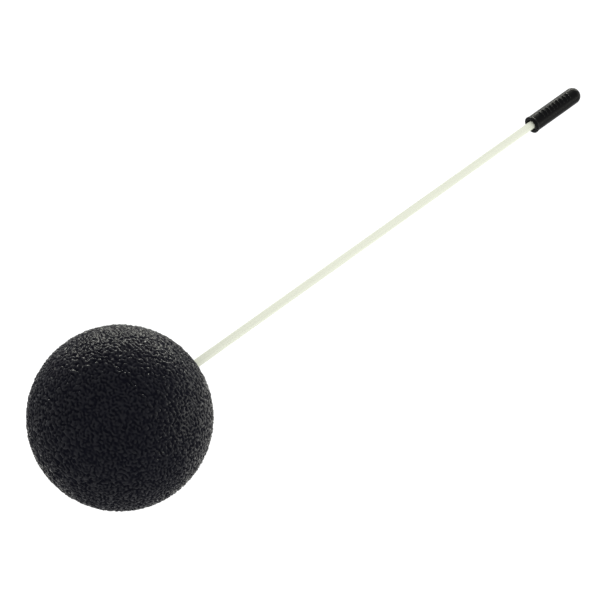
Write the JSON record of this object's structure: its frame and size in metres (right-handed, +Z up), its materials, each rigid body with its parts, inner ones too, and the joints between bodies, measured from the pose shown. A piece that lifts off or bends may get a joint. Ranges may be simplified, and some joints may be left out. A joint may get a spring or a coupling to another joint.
{
  "type": "friction mallet",
  "caption": "Friction mallet: a large wrinkled rubber ball on a slim glass-fibre rod, with a short rubber grip cap on the far end.",
  "frame": {"origin": "on the table that the mallet lies on, under the middle of its overall box", "axes": "+X from the ball towards the grip, the rod in the XZ plane and sloping down to the grip; +Z up"},
  "size_m": [0.3395, 0.083, 0.083],
  "materials": {
    "ball_rubber": "satin black, moulded wrinkled skin",
    "cured_adhesive": "clear cured resin, glossy",
    "glass_fibre": "milky greenish white, satin, faint lengthwise fibres",
    "grip_rubber": "semi-gloss black, smooth moulded"
  },
  "bodies": {
    "root": {"ball_head": "ball_rubber", "head_adhesive": "cured_adhesive", "shaft": "glass_fibre", "grip_cap": "grip_rubber"}
  },
  "joints": []
}
